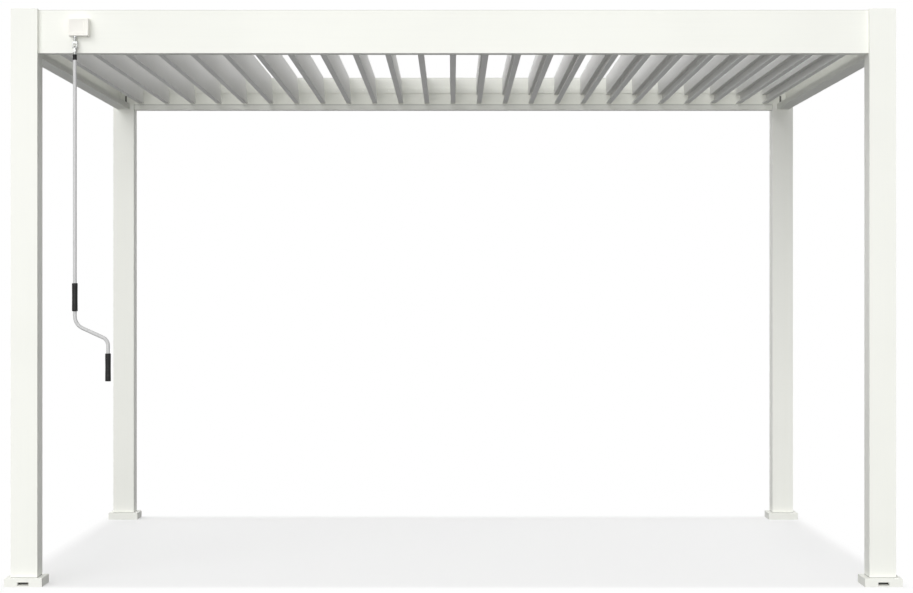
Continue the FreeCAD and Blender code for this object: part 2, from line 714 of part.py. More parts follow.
nodes.append(make_cross("joint_cross"))
nodes.append(make_lower_fork("lower_fork"))
nodes.append(make_collar("rod_collar"))
nodes.append(make_rod("crank_rod"))
path = handle_path()
lower_top = -path["end"].z - sheet.lower_grip_length
nodes.append(make_grip(
    "upper_grip", "0",
    f"{S}rod_straight - {S}upper_grip_gap - {S}upper_grip_length",
    f"{S}upper_grip_length",
))
nodes.append(make_grip(
    "lower_grip", f"{S}handle_offset", str(lower_top), f"{S}lower_grip_length",
))

doc.recompute()

for item in doc.Objects:
    if "Invalid" in item.State or "Error" in item.State:
        raise RuntimeError(f"{item.Label}: {item.State}")
os.makedirs("parts", exist_ok=True)
for node in nodes:
    if node.Shape.isNull() or not node.Shape.isValid():
        raise RuntimeError(f"{node.Label} has no valid shape")
    node.Shape.exportStep(f"parts/{node.Label}.step")
    print(node.Label, len(node.Shape.Solids), round(node.Shape.Volume))
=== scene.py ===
# %% [markdown]
# # A louvred-roof pergola, dressed for a picture
# The solids of the pergola come ready made: posts, beams, gutters, twenty-five louvres that
# turn together, and a hanging crank. This lesson gives them their coatings, adds the small
# things a fitter would see (screws, seams, rings on the joint, plates in the corners) and
# lights the whole. We start by loading the solids, because later sizes are read from them.

import json
import math

import bpy
import numpy as np
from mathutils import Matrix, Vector


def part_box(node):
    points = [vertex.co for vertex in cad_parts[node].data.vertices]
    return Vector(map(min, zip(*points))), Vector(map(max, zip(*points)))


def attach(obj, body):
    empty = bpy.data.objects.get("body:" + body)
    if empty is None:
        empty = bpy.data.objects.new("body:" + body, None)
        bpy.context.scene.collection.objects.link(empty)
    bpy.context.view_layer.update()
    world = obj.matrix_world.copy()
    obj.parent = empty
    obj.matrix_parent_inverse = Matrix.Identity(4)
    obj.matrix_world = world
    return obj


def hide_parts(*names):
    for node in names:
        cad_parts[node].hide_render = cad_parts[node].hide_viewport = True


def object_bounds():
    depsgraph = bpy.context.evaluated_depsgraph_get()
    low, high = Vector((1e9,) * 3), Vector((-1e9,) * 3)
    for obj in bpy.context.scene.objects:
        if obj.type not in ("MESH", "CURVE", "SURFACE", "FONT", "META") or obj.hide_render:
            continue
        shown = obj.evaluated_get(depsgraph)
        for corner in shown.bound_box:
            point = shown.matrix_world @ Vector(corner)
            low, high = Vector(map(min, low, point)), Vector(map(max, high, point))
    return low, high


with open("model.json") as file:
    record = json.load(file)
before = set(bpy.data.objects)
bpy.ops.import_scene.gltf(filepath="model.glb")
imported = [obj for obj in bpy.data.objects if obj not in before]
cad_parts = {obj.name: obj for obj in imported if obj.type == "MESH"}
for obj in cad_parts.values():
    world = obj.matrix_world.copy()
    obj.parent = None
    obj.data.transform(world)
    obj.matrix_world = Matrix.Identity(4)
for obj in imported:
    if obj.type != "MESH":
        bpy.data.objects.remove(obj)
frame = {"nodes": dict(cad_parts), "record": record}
cad_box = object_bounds()
nodes = frame["nodes"]

# %% [markdown]
# ## Places and directions
# Stating a place twice is how small parts end up floating. So where a screw sits or a coat
# changes is counted from the box of the solid that carries it, and where a louvre turns comes
# from the record's own joints.

# %% Places read from the solids
X, Y, Z = np.eye(3)
MM = 0.001
BEAM_WALL = 3 * MM       # thickness of a beam's upright plate


def low(node):
    """The lowest corner of a solid's box."""
    return np.array(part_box(node)[0], float)


def high(node):
    """The highest corner of a solid's box."""
    return np.array(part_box(node)[1], float)


def middle_of(node):
    """The middle of a solid's box: half the sum of its corners."""
    return (low(node) + high(node)) / 2


joint = middle_of("joint_cross")
louvre_names = sorted(name for name in nodes if name.startswith("louvre_"))
pivots = {hinge["child"]: np.array(hinge["pos_m"], float)
          for hinge in frame["record"]["behaviour"]["joints"]}
wall_x = high("right_beam")[0] - BEAM_WALL
wall_y = high("rear_beam")[1] - BEAM_WALL
print("joint centre:", joint.round(4), "louvres:", len(louvre_names))
print("inside the beams:", 2 * round(wall_x, 4), "by", 2 * round(wall_y, 4), "m")

# %% [markdown]
# ## Shader maths
# A coating is a chain of small sums on sockets: a noise, scaled, added to a colour. Wiring
# every Math node by hand hides the sum, so one small class wraps a socket and lets Python's
# own operators add the nodes. It also keeps each material down to a few readable lines.

# %% A socket that can be added and multiplied
class Value:
    """A number that varies over a surface, as an output socket of a node tree. Each sum,
    difference or product with another value or a plain number adds one Math node."""

    def __init__(self, shader, socket):
        self.shader = shader
        self.socket = socket

    def join(self, operation, other, swapped=False):
        """A Math node on this value and the other, which comes first when swapped."""
        pair = (other, self) if swapped else (self, other)
        return self.shader.node("ShaderNodeMath", {"operation": operation}, dict(enumerate(pair)))

    def __add__(self, other):
        return self.join("ADD", other)

    def __radd__(self, other):
        return self.join("ADD", other, True)

    def __sub__(self, other):
        return self.join("SUBTRACT", other)

    def __rsub__(self, other):
        return self.join("SUBTRACT", other, True)

    def __mul__(self, other):
        return self.join("MULTIPLY", other)

    def __rmul__(self, other):
        return self.join("MULTIPLY", other, True)


print("a value knows:", ", ".join(name for name in vars(Value) if callable(vars(Value)[name])))

# %% A material under construction
# Inputs of the Mix node that blends colours, by their place, and its colour output.
MIX_FACTOR, MIX_FIRST, MIX_SECOND, MIX_COLOUR = 0, 6, 7, 2


class Shader:
    """A material under construction: makes nodes and wires them to the surface shader."""

    def __init__(self, name, **constants):
        self.material = bpy.data.materials.new(name)
        self.material.use_nodes = True
        self.tree = self.material.node_tree
        self.surface = self.tree.nodes["Principled BSDF"]
        for socket, value in constants.items():
            self.surface.inputs[socket.replace("_", " ")].default_value = value

    def node(self, kind, settings=None, inputs=None, output=0):
        """Any node: its settings first, then the values or links of its sockets."""
        made = self.tree.nodes.new(kind)
        for key, value in (settings or {}).items():
            setattr(made, key, value)
        for socket, value in (inputs or {}).items():
            if isinstance(value, Value):
                self.tree.links.new(value.socket, made.inputs[socket])
            else:
                made.inputs[socket].default_value = value
        return Value(self, made.outputs[output])

    def place(self):
        """Where a point lies on the object, in metres."""
        return self.node("ShaderNodeTexCoord", output="Object")

    def part_of_place(self, axis):
        """One number of that place: 0 for X, 1 for Y, 2 for Z."""
        return self.node("ShaderNodeSeparateXYZ", {}, {0: self.place()}, output=axis)

    def stretched(self, scale):
        """The place, multiplied by a scale along each axis: under 1 draws a pattern out."""
        return self.node("ShaderNodeMapping", {}, {"Vector": self.place(), "Scale": scale})

    def noise(self, scale, detail, place=None):
        """Soft noise from 0 to 1, its features a metre divided by scale across."""
        return self.node("ShaderNodeTexNoise", {}, {
            "Vector": place or self.place(), "Scale": scale, "Detail": detail,
        })

    def between(self, value, low_edge, high_edge):
        """0 below the low edge, 1 above the high one, and a smooth step from one to the other."""
        return self.node("ShaderNodeMapRange", {"interpolation_type": "SMOOTHSTEP"}, {
            "Value": value, "From Min": low_edge, "From Max": high_edge,
        })

    def blend(self, amount, first, second):
        """The first colour where amount is 0, the second where it is 1."""
        return self.node("ShaderNodeMix", {"data_type": "RGBA"}, {
            MIX_FACTOR: amount, MIX_FIRST: first, MIX_SECOND: second,
        }, MIX_COLOUR)

    def wire(self, **links):
        """Feed values or colours to sockets of the surface shader."""
        for socket, value in links.items():
            self.tree.links.new(value.socket, self.surface.inputs[socket.replace("_", " ")])

    def bump(self, height, strength, distance):
        """Fine relief on the surface, from a height."""
        normal = self.node("ShaderNodeBump", {}, {
            "Strength": strength, "Distance": distance, "Height": height,
        })
        self.wire(Normal=normal)


def rgb(red, green, blue):
    """A colour with full opacity."""
    return (red, green, blue, 1.0)


def scaled(colour, factor):
    """A colour with each channel multiplied by a factor."""
    return rgb(*(channel * factor for channel in colour))


print("a shader knows:", ", ".join(name for name in vars(Shader) if callable(vars(Shader)[name])))

# %% [markdown]
# ## Powder coating
# The frame and the louvres are aluminium extrusions with a baked powder coating. Up close
# such a coat isn't flat: it has a fine orange peel, a few tenths of a millimetre deep,
# faint lines along the extrusion that the coat doesn't quite fill, and a breath of dust in
# broad patches. We make the peel and the lines from noises of different size and stretch, and
# let the broad one shift the colour a little. An image texture could do it too, but it would
# need a layout for every solid, while noise reads the place of a point in metres.
#
# Where a gutter's lip meets the wall behind it and where a post goes into its foot cover, the gap
# leaves a thin line of shade. It is thinner than a mesh is worth, so each coat can carry a dark
# band between two heights, which paints that shade in grey. The beams carry such a band as a darker
# line along their top edge.

# %% Powder coating
SATIN = 0.55                # roughness of the coat
SOFT_SHINE = 0.25           # specular level of coats and plastic
DUST = 0.03                 # share of the colour that the dust takes
DUST_NOISE, DUST_DETAIL, DUST_EDGES = 1.3, 3.0, (0.35, 0.75)
PEEL_NOISE, PEEL_DETAIL, PEEL_STRENGTH, PEEL_DEPTH = 420.0, 2.0, 0.30, 0.4 * MM
LINE_NOISE, LINE_DETAIL, LINE_EDGES = 260.0, 3.0, (0.45, 0.70)
LINE_GREY, LINE_SHARE, LINE_RELIEF = (0.45, 0.45, 0.43), 0.02, 0.1
PEEL_DULLS, DUST_DULLS = 0.10, 0.08     # how far each noise swings the roughness
NOISE_MIDDLE = 0.5
# Grey and soft edge of the dark bands, which paint the shade in gaps.
DARK_BAND_GREY, DARK_BAND_EDGE = (0.2, 0.2, 0.2), 0.5 * MM
ALONG_X, ALONG_Y, ALONG_Z = (0.01, 1.0, 1.0), (1.0, 0.01, 1.0), (1.0, 1.0, 0.01)


def powder_coat(name, colour, run=None, roughness=SATIN, dust=DUST, dark_band=None):
    """A baked coat: dusty patches, peel relief and lines along the run. A dark band is a band of
    grey between two heights, painted shade where it marks a gap, given as its low edge, its high
    edge and its share of grey: share * (above the low edge - above the high edge)."""
    coat = Shader(name, Metallic=0.0, Specular_IOR_Level=SOFT_SHINE)
    broad = coat.noise(DUST_NOISE, DUST_DETAIL)
    fine = coat.noise(PEEL_NOISE, PEEL_DETAIL)
    paint = coat.blend(coat.between(broad, *DUST_EDGES), rgb(*colour), scaled(colour, 1.0 - dust))
    relief = fine
    if run:
        lines = coat.noise(LINE_NOISE, LINE_DETAIL, coat.stretched(run))
        paint = coat.blend(LINE_SHARE * coat.between(lines, *LINE_EDGES), paint, rgb(*LINE_GREY))
        relief = (1.0 - LINE_RELIEF) * fine + LINE_RELIEF * lines
    # The dark band: a grey band between two heights, painted shade on the gutters and at the feet.
    if dark_band:
        low_edge, high_edge, share = dark_band
        height = coat.part_of_place(2)
        above_low = coat.between(height, low_edge - DARK_BAND_EDGE, low_edge)
        above_high = coat.between(height, high_edge, high_edge + DARK_BAND_EDGE)
        paint = coat.blend(share * (above_low - above_high), paint, rgb(*DARK_BAND_GREY))
    swing = PEEL_DULLS * (fine - NOISE_MIDDLE) + DUST_DULLS * (broad - NOISE_MIDDLE)
    coat.wire(Base_Color=paint, Roughness=roughness + swing)
    coat.bump(relief, PEEL_STRENGTH, PEEL_DEPTH)
    return coat.material


print("peel:", round(PEEL_DEPTH / MM, 2), "mm of relief, at a strength of", PEEL_STRENGTH)

# %% [markdown]
# The lines of a coat follow the way its piece was extruded, so posts, long beams and side beams
# each get a coat of their own. The louvres and the gearbox are a tint apart from the frame's white,
# and the rod is grey. The heights of the dark bands are read from the solids, because a band placed
# by eye would leave its seam as soon as a beam changes. On the gutters and above the foot covers
# those bands are painted shade.

# %% Coats of the pergola
FRAME_WHITE = (0.905, 0.912, 0.858)
BOX_WHITE = (0.955, 0.94, 0.885)
LOUVRE_WHITE = (0.83, 0.83, 0.81)
ROD_GREY = (0.62, 0.62, 0.62)
BOX_DUST, ROD_ROUGHNESS = 0.005, 0.4

beam_top = high("front_beam")[2]
gutter_top = high("front_gutter")[2]
cover_top = high("front_left_foot_cover")[2]
# Each dark band: the low edge, the high edge, the share of grey. On the gutters and above the foot
# covers it is painted shade in the gap, and on the beams a darker line along the top.
beam_top_line = (beam_top - 4.5 * MM, beam_top + DARK_BAND_EDGE, 0.16)
gutter_lip_shade = (gutter_top - 5 * MM, gutter_top + DARK_BAND_EDGE, 0.45)
foot_gap_shade = (cover_top - 2 * MM, cover_top + 3 * MM, 0.60)
coats = {
    "upright": powder_coat("post_coat", FRAME_WHITE, ALONG_Z, dark_band=foot_gap_shade),
    "long": powder_coat("long_beam_coat", FRAME_WHITE, ALONG_X, dark_band=beam_top_line),
    "deep": powder_coat("deep_beam_coat", FRAME_WHITE, ALONG_Y, dark_band=beam_top_line),
    "long_gutter": powder_coat("long_gutter_coat", FRAME_WHITE, ALONG_X, dark_band=gutter_lip_shade),
    "small": powder_coat("cover_coat", FRAME_WHITE),
    "louvre": powder_coat("louvre_coat", LOUVRE_WHITE, ALONG_Y),
    "gearbox": powder_coat("gearbox_coat", BOX_WHITE, dust=BOX_DUST),
    "rod": powder_coat("rod_coat", ROD_GREY, ALONG_Z, roughness=ROD_ROUGHNESS),
}
print("coats:", ", ".join(coats))

# %% [markdown]
# ## Bare metal and black plastic
# The joint, the screws and the plates are zinc-plated steel, the drive bar is plain drawn
# aluminium with fine lines along the draw, and the grips and the collar are a matte moulded
# plastic. Metal shows what stands round it, so its colour comes mostly from the white room.
# A dull zinc coat is only partly metallic, so its shine is under 1.

# %% Metals
DRAW_NOISE, CLOUD_NOISE, METAL_DETAIL, CLOUD_DETAIL = 900.0, 35.0, 2.0, 3.0
CLOUD_SHADE, DRAW_DULLS = 0.85, 0.15
DRAW_STRENGTH, DRAW_DEPTH = 0.15, 0.2 * MM


def drawn_metal(name, colour, roughness, run, shine=1.0):
    """Metal with fine draw lines: noise stretched a hundredfold along one axis, and softer
    clouds that darken the colour. The shine is how metallic it is, from 0 to 1."""
    metal = Shader(name, Metallic=shine)
    lines = metal.noise(DRAW_NOISE, METAL_DETAIL, metal.stretched(run))
    cloud = metal.noise(CLOUD_NOISE, CLOUD_DETAIL)
    metal.wire(
        Base_Color=metal.blend(cloud, rgb(*colour), scaled(colour, CLOUD_SHADE)),
        Roughness=roughness + DRAW_DULLS * (lines - NOISE_MIDDLE),
    )
    metal.bump(lines, DRAW_STRENGTH, DRAW_DEPTH)
    return metal.material


metals = {
    "zinc": drawn_metal("zinc_plate", (0.42, 0.43, 0.42), 0.38, ALONG_Z, shine=0.6),
    "drawn": drawn_metal("drawn_aluminium", (0.74, 0.75, 0.76), 0.38, ALONG_X),
    "dark": drawn_metal("blackened_steel_and_shade", (0.19, 0.19, 0.18), 0.55, ALONG_Z, shine=0.3),
}
print("metals:", ", ".join(metals))

# %% Black plastic
GRAIN_NOISE, GRAIN_DETAIL, GRAIN_STRENGTH, GRAIN_DEPTH = 1500.0, 2.0, 0.3, 0.2 * MM
WORN_NOISE, WORN_DETAIL, WORN_EDGES, WORN_LIGHTER, WORN_GLOSS = 60.0, 3.0, (0.4, 0.7), 1.5, 0.12


def moulded_plastic(name, colour, roughness):
    """Matte plastic: a fine eroded grain and a worn sheen in patches."""
    plastic = Shader(name, Metallic=0.0, Specular_IOR_Level=SOFT_SHINE)
    grain = plastic.noise(GRAIN_NOISE, GRAIN_DETAIL)
    worn = plastic.between(plastic.noise(WORN_NOISE, WORN_DETAIL), *WORN_EDGES)
    plastic.wire(
        Base_Color=plastic.blend(worn, rgb(*colour), scaled(colour, WORN_LIGHTER)),
        Roughness=roughness - WORN_GLOSS * worn,
    )
    plastic.bump(grain, GRAIN_STRENGTH, GRAIN_DEPTH)
    return plastic.material


black = moulded_plastic("black_plastic", (0.008, 0.008, 0.008), 0.6)
print("plastic:", black.name)

# %% [markdown]
# ## Finishes
# Every solid needs a finish, and there are over fifty of them. Their names say what they are,
# so a short table from the start of a name to a material does the work. What starts with left
# or right runs from front to back, so it gets the coat with lines along Y. Posts are told by
# the end of their names, and whatever is left then is small.

# %% Give every solid its finish
FINISHES = {
    "louvre_": coats["louvre"],
    "front_beam": coats["long"], "rear_beam": coats["long"],
    "front_gutter": coats["long_gutter"], "rear_gutter": coats["long_gutter"],
    "front_pivot_rail": coats["long"], "rear_pivot_rail": coats["long"],
    "left_": coats["deep"], "right_": coats["deep"],
    "post_caps": coats["small"], "base_plates": metals["zinc"],
    "gearbox": coats["gearbox"], "crank_rod": coats["rod"], "drive_bar": metals["drawn"],
    "crank_spindle": metals["zinc"], "joint_cross": metals["zinc"], "lower_fork": metals["zinc"],
    "upper_grip": black, "lower_grip": black, "rod_collar": black,
}


def finish_of(node):
    """The material of a solid, by the start of its name, or else by its end: posts are
    upright extrusions, and what is left is small."""
    for start, finish in FINISHES.items():
        if node.startswith(start):
            return finish
    return coats["upright"] if node.endswith("_post") else coats["small"]


for name, solid in nodes.items():
    solid.data.materials.clear()
    solid.data.materials.append(finish_of(name))
print("finished solids:", len(nodes))

# %% [markdown]
# ## Skins through rings of points
# The small parts that a fitter would see are added as skins: rings of points, one after the
# other, each joined to the next by four-sided faces. A primitive with modifiers would be
# quicker for one screw, but a skin takes any profile, and two dozen screws are one array.
# The rule that keeps faces outwards is simple: seen along the way the skin runs, with the
# rings coming towards the eye, the points go round anticlockwise.

# %% A shell from rings
def shell(rings, ends="cap"):
    """Vertices and faces through rings of shape [copies,] rows, columns, 3. The face at (row,
    column) runs to column + 1, then to row + 1, then back; columns close on themselves. The end
    rings get caps, or, when ends is "meet", the last ring joins the first."""
    rings = np.asarray(rings, float)
    rings = rings.reshape((-1,) + rings.shape[-3:])
    index = np.arange(rings.size // 3).reshape(rings.shape[:3])
    here, ahead = index, np.roll(index, -1, axis=1)
    if ends == "cap":
        here, ahead = here[:, :-1], ahead[:, :-1]
    quads = np.stack([here, np.roll(here, -1, 2), np.roll(ahead, -1, 2), ahead], axis=-1)
    faces = quads.reshape(-1, 4).tolist()
    if ends == "cap":
        faces += index[:, 0, ::-1].tolist() + index[:, -1].tolist()
    return rings.reshape(-1, 3), faces


print("faces of a tube of 2 rings, 4 points each:", len(shell(np.zeros((2, 4, 3)))[1]))

# %% A piece from shells
SHARP_ANGLE = math.radians(38.0)


def new_object(name, data):
    """An object of the scene, at the origin."""
    made = bpy.data.objects.new(name, data)
    bpy.context.scene.collection.objects.link(made)
    return made


def add_piece(name, shells, material, body, stands_for=()):
    """One object from several shells, riding on a body; it may stand for solids."""
    vertices, faces = [], []
    for points, sides in shells:
        base = sum(len(block) for block in vertices)
        faces += [[base + corner for corner in side] for side in sides]
        vertices.append(points)
    mesh = bpy.data.meshes.new(name)
    mesh.from_pydata(np.concatenate(vertices).tolist(), [], faces)
    mesh.shade_smooth()
    mesh.set_sharp_from_angle(angle=SHARP_ANGLE)
    mesh.materials.append(material)
    piece = new_object(name, mesh)
    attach(piece, body)
    if stands_for:
        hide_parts(*stands_for)
    print(name, "has", len(faces), "faces")


print("edges are sharp over", round(math.degrees(SHARP_ANGLE)), "degrees")

# %% [markdown]
# ## Turned parts
# Screw heads, washers, rivets, the collar and the grips are all turned: a profile of radius
# and height, spun round an axis. The axis may point six ways, so each profile is spun in a
# frame of three directions. A screw's socket has six sides, so the profile also says how much
# of a ring is hexagon instead of circle.

# %% A profile turned round an axis
FACING = {
    "+X": (Y, Z, X), "-X": (Z, Y, -X), "+Y": (Z, X, Y),
    "-Y": (X, Z, -Y), "+Z": (X, Y, Z), "-Z": (Y, X, -Z),
}


def turned(profile, facing, centres, sides):
    """Rings turned round an axis. Each row of the profile is a radius, a height and a share of
    hexagon. At angle a the ring's reach is the radius times (1 - share + share * h), where h =
    cos 30 / cos(a mod 60 - 30) is a hexagon with corners at 1, and the ring is raised by the
    height along the axis."""
    across, up, out = FACING[facing]
    profile = np.array([(*row, 0.0)[:3] for row in profile])
    radius, height, share = (column[:, None] for column in profile.T)
    angle = np.linspace(0.0, 2 * np.pi, sides, endpoint=False)
    hexagon = np.cos(np.pi / 6) / np.cos(angle % (np.pi / 3) - np.pi / 6)
    reach = radius * (1.0 - share + share * hexagon)
    spoke = np.cos(angle)[:, None] * across + np.sin(angle)[:, None] * up
    rings = reach[..., None] * spoke + height[..., None] * out
    return np.reshape(centres, (-1, 1, 1, 3)) + rings


print("ways to face:", ", ".join(FACING))

# %% Profiles of screws and rings
SCREW_SIDES = 12
RIM_HEIGHT, DOME_SHRINK = 0.4, 0.6345       # shares of the head's height and radius
SOCKET_RADIUS, SOCKET_FLOOR = 0.5, 0.5      # shares of the radius and of the height
CENTRE_RADIUS, CENTRE_HEIGHT = 0.05, 0.45   # the same shares, for the last ring


def button_head(radius, height):
    """Profile of a screw's head. The dome's radius shrinks by the sine of half the angle as its
    height grows by the sine of the angle; then come the six-sided socket and its floor."""
    rise = np.linspace(0.0, np.pi / 2, 4)
    dome_radius = radius * (1.0 - DOME_SHRINK * np.sin(rise / 2))
    dome_height = height * (RIM_HEIGHT + (1.0 - RIM_HEIGHT) * np.sin(rise))
    socket = SOCKET_RADIUS * radius
    return [
        (radius, 0.0), *zip(dome_radius, dome_height),
        (socket, height, 1.0), (socket, SOCKET_FLOOR * height, 1.0),
        (CENTRE_RADIUS * radius, CENTRE_HEIGHT * height),
    ]


def collar_ring(outer, bore, height, bevel=0.0):
    """Profile of a ring with a bore and a bevelled edge: up the outside and back down inside."""
    edge = [(outer, 0.0), (outer, height - bevel), (outer - bevel, height)]
    return [*edge, (bore, height), (bore, 0.0)]


print("a screw head has", len(button_head(1.0, 1.0)), "rings of", SCREW_SIDES, "points")

# %% [markdown]
# ## Gearbox
# The gearbox is a white cast box with rounded edges. A seam runs round it where the cover meets
# the body, the front carries a shallow panel with two upright ribs, and four screws hold the
# cover. The skin is a stack of rounded rectangles: each row shrinks by an inset and steps
# forward by a depth, so the seam, the rounded edge and the panel are only more rows.

# %% Rounded rectangles in a stack
LEAST_CORNER = 0.2      # a corner radius never shrinks to less than this share


def rounded_rectangle(left, right, bottom, top, radius, steps=5):
    """Points round a rectangle, anticlockwise: a quarter circle about a centre that lies one
    radius inside each corner."""
    centres = np.array([(right - radius, top - radius), (left + radius, top - radius),
                        (left + radius, bottom + radius), (right - radius, bottom + radius)])
    angle = np.linspace(0.0, np.pi / 2, steps) + np.arange(4)[:, None] * np.pi / 2
    quarter = radius * np.stack([np.cos(angle), np.sin(angle)], -1)
    return (centres[:, None] + quarter).reshape(-1, 2)


def box_forward(left, right, bottom, top, seat, rows, corner):
    """Rounded rectangles in X and Z, stacked towards -Y: each row is an inset from all four
    sides and a depth from the seat, and the corner's radius shrinks by the inset."""
    rings = []
    for inset, depth in rows:
        radius = max(corner - inset, LEAST_CORNER * corner)
        flat = rounded_rectangle(left + inset, right - inset, bottom + inset, top - inset, radius)
        rings.append(np.column_stack([flat[:, 0], np.full(len(flat), seat - depth), flat[:, 1]]))
    return np.array(rings)


def quarter_edge(depth, radius, steps=5):
    """Rows of an edge rounded into the front: at angle a the inset is radius * (1 - cos a), and
    the depth falls short of the front by radius * (1 - sin a)."""
    angle = np.linspace(0.0, np.pi / 2, steps)
    return list(zip(radius * (1.0 - np.cos(angle)), depth - radius * (1.0 - np.sin(angle))))


print("an edge of 3 mm in a box 50 mm deep:", len(quarter_edge(50 * MM, 3 * MM)), "rows")

# %% Gearbox shell
BOX_EDGE, BOX_CORNER = 3 * MM, 5 * MM
SEAM_AT, SEAM_WIDTH, SEAM_DEPTH, SEAM_SLOPE = 30 * MM, 1.2 * MM, 0.8 * MM, 0.2 * MM
PANEL_INSET, PANEL_DEPTH = 6 * MM, 0.7 * MM
RIDGE_RISE = 0.5 * MM       # ribs and band stand this far in front of the box
RIB_WIDTH, RIB_CORNER = 3 * MM, 1.4 * MM
RIB_PLACES = (11 * MM, 21 * MM)         # from the box's right side to a rib's
RIB_FOOT, RIB_HEAD = 20 * MM, 12 * MM   # from the box's lower and upper ends
BAND_INSET, BAND_HEIGHT, BAND_CORNER = 10 * MM, 4 * MM, 1.8 * MM

gear_low, gear_high = low("gearbox"), high("gearbox")
gear_depth = gear_high[1] - gear_low[1]
panel_y = gear_low[1] + PANEL_DEPTH
gear_rows = [
    (0.0, 0.0), (0.0, SEAM_AT), (SEAM_DEPTH, SEAM_AT + SEAM_SLOPE),
    (SEAM_DEPTH, SEAM_AT + SEAM_WIDTH), (0.0, SEAM_AT + SEAM_WIDTH + SEAM_SLOPE),
    *quarter_edge(gear_depth, BOX_EDGE),
    (PANEL_INSET, gear_depth), (PANEL_INSET + PANEL_DEPTH, gear_depth - PANEL_DEPTH),
]
ridge_rows = [(0.0, 0.0), *quarter_edge(PANEL_DEPTH + RIDGE_RISE, RIDGE_RISE, 3)]


def ridge(left, right, bottom, top, corner):
    """A low rounded ridge that stands on the panel."""
    return shell(box_forward(left, right, bottom, top, panel_y, ridge_rows, corner))


gear_shells = [shell(box_forward(gear_low[0], gear_high[0], gear_low[2], gear_high[2],
                                 gear_high[1], gear_rows, BOX_CORNER))]
for place in RIB_PLACES:
    rib_side = gear_high[0] - place
    gear_shells.append(ridge(rib_side - RIB_WIDTH, rib_side, gear_low[2] + RIB_FOOT,
                             gear_high[2] - RIB_HEAD, RIB_CORNER))
band_foot = gear_low[2] + BAND_INSET
gear_shells.append(ridge(gear_low[0] + BAND_INSET, gear_high[0] - BAND_INSET,
                         band_foot, band_foot + BAND_HEIGHT, BAND_CORNER))
add_piece("gearbox_shell", gear_shells, coats["gearbox"], "frame", ["gearbox"])

# %% [markdown]
# The cover's four screws are painted with the box. Where the spindle comes out below, a short
# bushing guides it: a turned ring, with three tenths of a millimetre of play in its bore.

# %% Gearbox screws and bushing
COVER_HEAD = (2.6 * MM, 1.1 * MM)               # radius and height
SCREW_LEFT, SCREW_INSET = 12 * MM, 7 * MM       # in from the left side, and from the others
SPINDLE_RADIUS, BUSHING_GAP = 6 * MM, 0.3 * MM
BUSHING_RADIUS, BUSHING_HEIGHT, BUSHING_BEVEL = 10 * MM, 4 * MM, 1 * MM

cover_screws = [(x, panel_y, z)
                for x in (gear_low[0] + SCREW_LEFT, gear_high[0] - SCREW_INSET)
                for z in (gear_low[2] + SCREW_INSET, gear_high[2] - SCREW_INSET)]
heads = turned(button_head(*COVER_HEAD), "-Y", cover_screws, SCREW_SIDES)
add_piece("gearbox_screws", [shell(heads)], coats["gearbox"], "frame")

under_gearbox = (joint[0], joint[1], gear_low[2])
bushing_profile = collar_ring(BUSHING_RADIUS, SPINDLE_RADIUS + BUSHING_GAP,
                              BUSHING_HEIGHT, BUSHING_BEVEL)
bushing = turned(bushing_profile, "-Z", [under_gearbox], sides=32)
add_piece("spindle_bushing", [shell(bushing, "meet")], metals["drawn"], "frame")

# %% [markdown]
# ## Universal joint and collar
# The pins of the joint's cross are riveted: each end has a low round head against the fork's
# arm. Below the joint, two rings clamp the neck, and a black collar takes the tube. The rod can
# tilt at the joint, so each piece rides on the body that it is fixed to: heads on the cross,
# rings and collar on the crank.

# %% Rivets and neck rings
RIVET_DOME = ((3.9, 0.0), (3.8, 0.5), (3.0, 1.0), (1.6, 1.3), (0.2, 1.4))   # radius, height in mm
NECK_RADIUS = 6 * MM
RING_RADIUS, RING_HEIGHT, RING_BEVEL = 8 * MM, 3 * MM, 0.6 * MM
RING_PLACES = (3.5 * MM, 9.0 * MM)      # above the collar

cross_reach = high("joint_cross") - joint
rivets = []
for facing in ("+X", "-X", "+Y", "-Y"):
    out = FACING[facing][2]
    pin_end = joint + out * abs(cross_reach @ out)
    rivets.append(shell(turned(np.array(RIVET_DOME) * MM, facing, [pin_end], sides=20)))
add_piece("joint_rivets", rivets, metals["dark"], "joint_cross")

collar_high = high("rod_collar")
ring_profile = collar_ring(RING_RADIUS, NECK_RADIUS, RING_HEIGHT, RING_BEVEL)
ring_tops = [(joint[0], joint[1], collar_high[2] + rise) for rise in RING_PLACES]
neck_rings = [shell(turned(ring_profile, "-Z", [top], sides=32), "meet") for top in ring_tops]
add_piece("neck_rings", neck_rings, metals["zinc"], "crank")

# %% [markdown]
# The collar is a plastic sleeve with three fine grooves and a tapered lower end. Its profile
# runs down the outside and back up inside, so that it closes on itself like a ring.

# %% Collar
COLLAR_CHAMFER, COLLAR_TAPER, TAPER_LENGTH = 1.0 * MM, 0.6 * MM, 3 * MM
GROOVE_PLACES = (6.0 * MM, 9.0 * MM, 12.0 * MM)                     # from the collar's top
GROOVE_SHAPE = ((0.0, 0.0), (0.4, 0.9), (1.0, 0.9), (1.4, 0.0))     # along and deep, in mm

collar_radius = (collar_high[0] - low("rod_collar")[0]) / 2
collar_length = collar_high[2] - low("rod_collar")[2]
collar_profile = [(collar_radius - COLLAR_CHAMFER, 0.0), (collar_radius, COLLAR_CHAMFER)]
for at in GROOVE_PLACES:
    collar_profile += [(collar_radius - deep * MM, at + along * MM) for along, deep in GROOVE_SHAPE]
collar_profile += [(collar_radius, collar_length - TAPER_LENGTH),
                   (collar_radius - COLLAR_TAPER, collar_length),
                   (NECK_RADIUS, collar_length), (NECK_RADIUS, 0.0)]
collar = turned(collar_profile, "-Z", [(joint[0], joint[1], collar_high[2])], sides=40)
add_piece("collar_sleeve", [shell(collar, "meet")], black, "crank", ["rod_collar"])
print("collar length:", round(collar_length / MM, 1), "mm")

